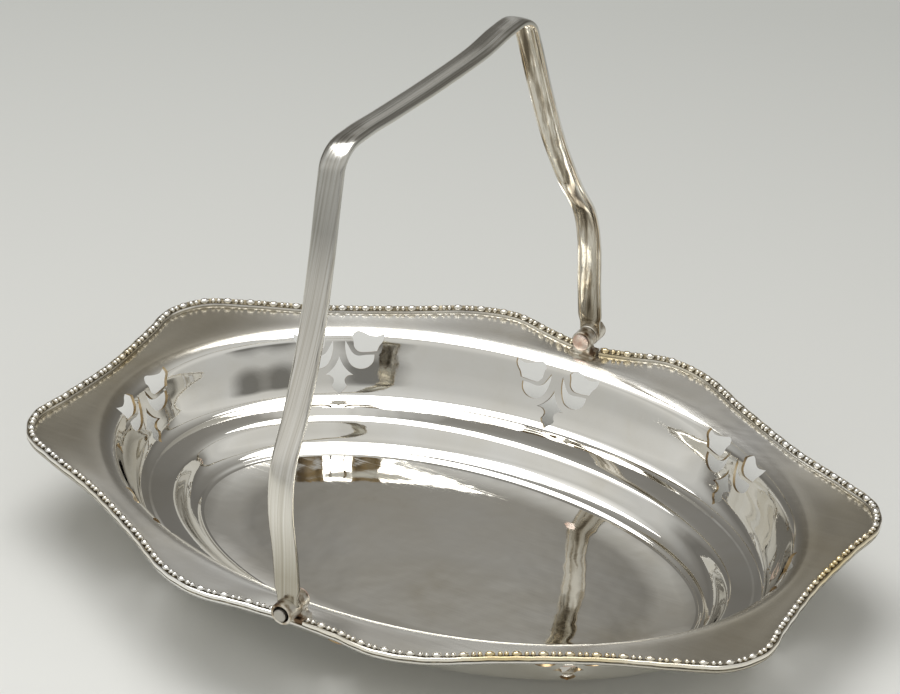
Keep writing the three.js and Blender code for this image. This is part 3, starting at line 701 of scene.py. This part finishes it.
for side, node in ((-1, "hinge_lug_front"), (1, "hinge_lug_back")):
    bm = bmesh.new()
    section = [(x * MM, HINGE_Z + z * MM) for x, z in LUG_FOOT]
    section += [(-x, z) for x, z in reversed(section)]
    face = bm.faces.new([bm.verts.new((x, LUG_INNER_Y, z)) for x, z in section])
    grown = bmesh.ops.extrude_face_region(bm, geom=[face])["geom"]
    moved = [g for g in grown if isinstance(g, bmesh.types.BMVert)]
    bmesh.ops.translate(bm, verts=moved, vec=(0, LUG_TUBE_LENGTH, 0))
    sill_place = (0, (LUG_INNER_Y + LUG_FOOT_END_Y) / 2, HINGE_Z - LUG_SILL_DEPTH)
    sill_size = (LUG_SILL_WIDTH, LUG_FOOT_END_Y - LUG_INNER_Y, LUG_SILL_HEIGHT, 1)
    bmesh.ops.create_cube(bm, size=1, matrix=Matrix.Translation(sill_place) @ Matrix.Diagonal(sill_size))
    bmesh.ops.bevel(bm, geom=bm.edges[:], affect="EDGES", offset=EDGE_ROUND / 2, segments=2,
                    profile=0.5, material=-1)
    tube = tube_profile(LUG_BORE, LUG_RADIUS, LUG_INNER_Y, LUG_INNER_Y + LUG_TUBE_LENGTH, EDGE_ROUND)
    turned_about_hinge(bm, tube, closed=True)
    lug = hinge_piece(node + "_cast", bm, side, [tarnished])
    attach(lug, "tray")
    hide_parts(node)


# Hinge pins
# A copper rivet passes through each lug. Its flat head closes the inner end and shows bare copper,
# and its plain grey end stands out of the barrel.
PIN_RADIUS = 2.3 * MM
PIN_HEAD_RADIUS = 3.3 * MM
PIN_HEAD_OUTER_Y = 103.3 * MM
PIN_HEAD_THICKNESS = 0.7 * MM
PIN_END_Y = 117.5 * MM

# Bare copper, filed flat: a pale pink gleam with a few deeper spots
RUBBED_SPOT = 2.86 * MM
pin_copper, tree, shader = new_material("bare_copper_rivet")
place = add_node(tree, "ShaderNodeTexCoord").outputs["Object"]
rubbed = add_node(tree, "ShaderNodeTexNoise", {"Vector": place, "Scale": 1 / RUBBED_SPOT,
                                               "Detail": 2}).outputs["Fac"]
pinks = add_node(tree, "ShaderNodeValToRGB", {"Fac": rubbed}, [(0.35, "#e3c3b3"), (0.65, "#f5e6dc")])
tree.links.new(pinks.outputs["Color"], shader.inputs["Base Color"])
shader.inputs["Metallic"].default_value = 1
shader.inputs["Roughness"].default_value = 0.38

# The rivet's dull end: an even grey gleam
pin_steel, tree, shader = new_material("dull_grey_rivet_end")
shader.inputs["Base Color"].default_value = linear("#b9b5ad")
shader.inputs["Metallic"].default_value = 1
shader.inputs["Roughness"].default_value = 0.35

for side, node in ((-1, "hinge_pin_front"), (1, "hinge_pin_back")):
    bm = bmesh.new()
    head_inner = PIN_HEAD_OUTER_Y - PIN_HEAD_THICKNESS
    bevel = EDGE_ROUND / 2
    turned_about_hinge(bm, [
        (0, head_inner), (PIN_HEAD_RADIUS - 2 * bevel, head_inner), (PIN_HEAD_RADIUS, head_inner + bevel),
        (PIN_HEAD_RADIUS, PIN_HEAD_OUTER_Y - bevel), (PIN_HEAD_RADIUS - bevel, PIN_HEAD_OUTER_Y),
        (PIN_RADIUS, PIN_HEAD_OUTER_Y), (PIN_RADIUS, PIN_END_Y - EDGE_ROUND),
        (PIN_RADIUS - EDGE_ROUND, PIN_END_Y), (0, PIN_END_Y),
    ], closed=False)
    for face in bm.faces:
        face.material_index = 1 if face.calc_center_median().y > PIN_HEAD_OUTER_Y else 0
    pin = hinge_piece(node + "_rivet", bm, side, [pin_copper, pin_steel])
    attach(pin, "tray")
    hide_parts(node)


# Barrels of the handle
# Each foot of the handle is brazed to a thin tube of plated metal, stained like the lugs. The tube turns
# loosely on its pin.
BARREL_RADIUS = 4.1 * MM
BARREL_BORE = 3.1 * MM
BARREL_INNER_Y = 109 * MM
BARREL_LENGTH = 7.3 * MM

for side, node in ((-1, "handle_barrel_front"), (1, "handle_barrel_back")):
    bm = bmesh.new()
    tube = tube_profile(BARREL_BORE, BARREL_RADIUS, BARREL_INNER_Y, BARREL_INNER_Y + BARREL_LENGTH,
                        EDGE_ROUND)
    turned_about_hinge(bm, tube, closed=True)
    barrel = hinge_piece(node + "_tube", bm, side, [tarnished])
    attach(barrel, "handle")
    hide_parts(node)


# Handle strap
# One strip of silver-plated metal, rolled to a shallow channel with a reeded outside, is bent to two
# shoulders and two low bends. Its narrowed feet sit on the barrels.
FOOT_HALF_SPAN = 111.65
BACK_HALF_HEIGHT = 0.983
HANDLE_LEAN = math.radians(4.1)
# From the foot to the middle of the grip, in millimetres from the middle and over the hinge axis
STRAP_LINE = [(FOOT_HALF_SPAN, 0), (FOOT_HALF_SPAN, 20), (112.45, 39.2), (109.3, 53.9), (98.7, 70.5),
              (86.8, 93.8), (77.8, 117.6), (70.1, 141.4), (67.1, 148.6), (61.4, 152.3), (49.7, 152.9),
              (31.9, 151.7), (0, 149.9)]
# Half of the channel's section in millimetres, from its middle line and outwards
STRAP_SECTION = [(0, 1.15), (0.55, 1.14), (1.1, 1.12), (1.7, 1.09), (2.3, 1.04), (2.9, 0.97),
                 (3.5, 0.87), (4.1, 0.7), (4.55, 0.45), (4.78, 0.1), (4.8, -0.3), (4.8, -1),
                 (4.68, -1.15), (3.95, -1.15), (3.8, -1.05), (3.45, -0.75), (3, -0.46), (2.4, -0.22),
                 (1.2, -0.01), (0, 0.07)]
# Sides of the half section, counted from the middle of the outside: the reeded ones, and the worn
# corners of the lip
OUTER_SIDES = range(11)
WORN_SIDES = (11, 13)
REED_PLACES = (0.55, 1.7, 2.9)
REED_DEPTH = 0.06
REED_WORN_DEPTH = 0.015
REED_WORN_FROM = 142
SECTION_HALF_WIDTH = 4.8
FOOT_HALF_WIDTH = 4
FOOT_TAPER = 4
FOOT_SEAT = 0.05
STRAP_STEPS = 24
STRAP_CREASE = 40

# Silver plate on a rolled strip: a soft mirror with lines along the strap, with painted shade near the
# foot and at the grip. The colour stops of the painted shade are heights in metres.
ROLLED_LINE_WIDTH = 0.556 * MM
ROLLED_LINE_LENGTH = 71.4 * MM
strap_silver, tree, shader = new_material("brushed_silver_strap")
place = add_node(tree, "ShaderNodeTexCoord").outputs["Object"]
drawn_out = add_node(tree, "ShaderNodeMapping", {
    "Vector": place,
    "Scale": (1 / ROLLED_LINE_WIDTH, 1 / ROLLED_LINE_LENGTH, 1 / ROLLED_LINE_LENGTH),
}).outputs["Vector"]
lines = add_node(tree, "ShaderNodeTexNoise", {"Vector": drawn_out, "Scale": 1, "Detail": 3}).outputs["Fac"]
height = add_node(tree, "ShaderNodeSeparateXYZ", {"Vector": place}).outputs["Z"]
# Painted shade by height: darker near the foot and at the grip, full colour between
tarnish_and_painted_shade = add_node(tree, "ShaderNodeValToRGB", {"Fac": height}, [
    (0.055, "#c8c5bd"), (0.08, "#ffffff"), (0.15, "#ffffff"), (0.168, "#cfd0d0"), (0.186, "#dcdddd"),
]).outputs["Color"]
clean = add_node(tree, "ShaderNodeValToRGB", {"Fac": lines},
                 [(0.3, "#cfcabf"), (0.5, "#e6e2d9"), (0.7, "#f4f2ec")]).outputs["Color"]
plate = add_node(tree, "ShaderNodeMixRGB", {"Fac": 1, "Color1": clean, "Color2": tarnish_and_painted_shade},
                 blend_type="MULTIPLY")
tree.links.new(plate.outputs["Color"], shader.inputs["Base Color"])
rub = add_node(tree, "ShaderNodeMapRange", {"Value": lines, "From Min": 0.3, "From Max": 0.7,
                                            "To Min": 0.12, "To Max": 0.26}).outputs["Result"]
tree.links.new(rub, shader.inputs["Roughness"])
grooves = add_node(tree, "ShaderNodeBump", {"Height": lines, "Strength": 0.25, "Distance": 0.2 * MM})
tree.links.new(grooves.outputs["Normal"], shader.inputs["Normal"])
shader.inputs["Metallic"].default_value = 1

# The inside of the strip, which is little rubbed: a mirror over slow hollows, with brown streaks and bands
# of painted shade by height
STREAK_WIDTH = 3.03 * MM
STREAK_LENGTH = 27.8 * MM
HOLLOW_WIDTH = 10.53 * MM
inside_silver, tree, shader = new_material("worn_inside_of_strap")
place = add_node(tree, "ShaderNodeTexCoord").outputs["Object"]
drawn_out = add_node(tree, "ShaderNodeMapping", {
    "Vector": place,
    "Scale": (1 / STREAK_WIDTH, 1 / STREAK_LENGTH, 1 / STREAK_LENGTH),
}).outputs["Vector"]
streaks = add_node(tree, "ShaderNodeTexNoise", {"Vector": drawn_out, "Scale": 1,
                                                "Detail": 4}).outputs["Fac"]
clean = add_node(tree, "ShaderNodeValToRGB", {"Fac": streaks},
                 [(0.36, "#7d7568"), (0.45, "#c4bdb0"), (0.53, "#fbfaf6")]).outputs["Color"]
height = add_node(tree, "ShaderNodeSeparateXYZ", {"Vector": place}).outputs["Z"]
# Painted shade in bands by height: darker at the foot, in a band at the low bend and towards the top
tarnish_and_painted_shade = add_node(tree, "ShaderNodeValToRGB", {"Fac": height}, [
    (0.05, "#bab5ab"), (0.063, "#d8d4cc"), (0.085, "#f0ede7"), (0.098, "#b0aba0"), (0.108, "#f2f0ea"),
    (0.15, "#f2f0ea"), (0.178, "#e0dcd3"),
]).outputs["Color"]
plate = add_node(tree, "ShaderNodeMixRGB", {"Fac": 1, "Color1": clean, "Color2": tarnish_and_painted_shade},
                 blend_type="MULTIPLY")
tree.links.new(plate.outputs["Color"], shader.inputs["Base Color"])
waves = add_node(tree, "ShaderNodeTexNoise", {"Vector": place, "Scale": 1 / HOLLOW_WIDTH,
                                              "Detail": 1}).outputs["Fac"]
hollows = add_node(tree, "ShaderNodeBump", {"Height": waves, "Strength": 0.4, "Distance": 1.2 * MM})
tree.links.new(hollows.outputs["Normal"], shader.inputs["Normal"])
shader.inputs["Metallic"].default_value = 1
shader.inputs["Roughness"].default_value = 0.12

front = [Vector((0, -y, z)) for y, z in STRAP_LINE]
back = [Vector((0, y, z * BACK_HALF_HEIGHT)) for y, z in STRAP_LINE[-2::-1]]
line = smooth_through(front + back, STRAP_STEPS)
ring_outline = STRAP_SECTION + [(-x, n) for x, n in STRAP_SECTION[-2:0:-1]]
seat = BARREL_RADIUS / MM + FOOT_SEAT
rows = []
for i, point in enumerate(line):
    if point.z < seat:
        continue
    along = (line[min(i + 1, len(line) - 1)] - line[i - 1]).normalized()
    outward = Vector((0, -along.z, along.y))
    narrow = fade(point.z - seat, FOOT_TAPER)
    width = 1 - (1 - FOOT_HALF_WIDTH / SECTION_HALF_WIDTH) * narrow
    cut = REED_DEPTH if point.z < REED_WORN_FROM else REED_WORN_DEPTH
    row = []
    for x, n in ring_outline:
        reed = cut if abs(x) in REED_PLACES else 0
        row.append(point + outward * (n - reed) + Vector((x * width, 0, 0)))
    rows.append(row)
front_foot, back_foot = ([Vector((p.x, p.y, math.sqrt(seat ** 2 - p.x ** 2))) for p in row]
                         for row in (rows[0], rows[-1]))
rows = [front_foot, *rows, back_foot]
bm = skin_over([[p * MM + Vector((0, 0, HINGE_Z)) for p in row + row[:1]] for row in rows])
around = len(ring_outline)
for face in bm.faces:
    side = min(face.index % around, around - 1 - face.index % around)
    face.material_index = 0 if side in OUTER_SIDES else 2 if side in WORN_SIDES else 1
bmesh.ops.holes_fill(bm, edges=[edge for edge in bm.edges if edge.is_boundary])
bmesh.ops.recalc_face_normals(bm, faces=bm.faces)
axis = Matrix.Translation((0, 0, HINGE_Z))
lean = axis @ Matrix.Rotation(-HANDLE_LEAN, 4, "Y") @ axis.inverted()
bmesh.ops.transform(bm, matrix=lean, verts=bm.verts)
strap = finished_object("strap_channel", bm, [strap_silver, inside_silver, copper])
shade_round(strap.data, STRAP_CREASE)
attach(strap, "handle")
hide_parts("handle_strap")
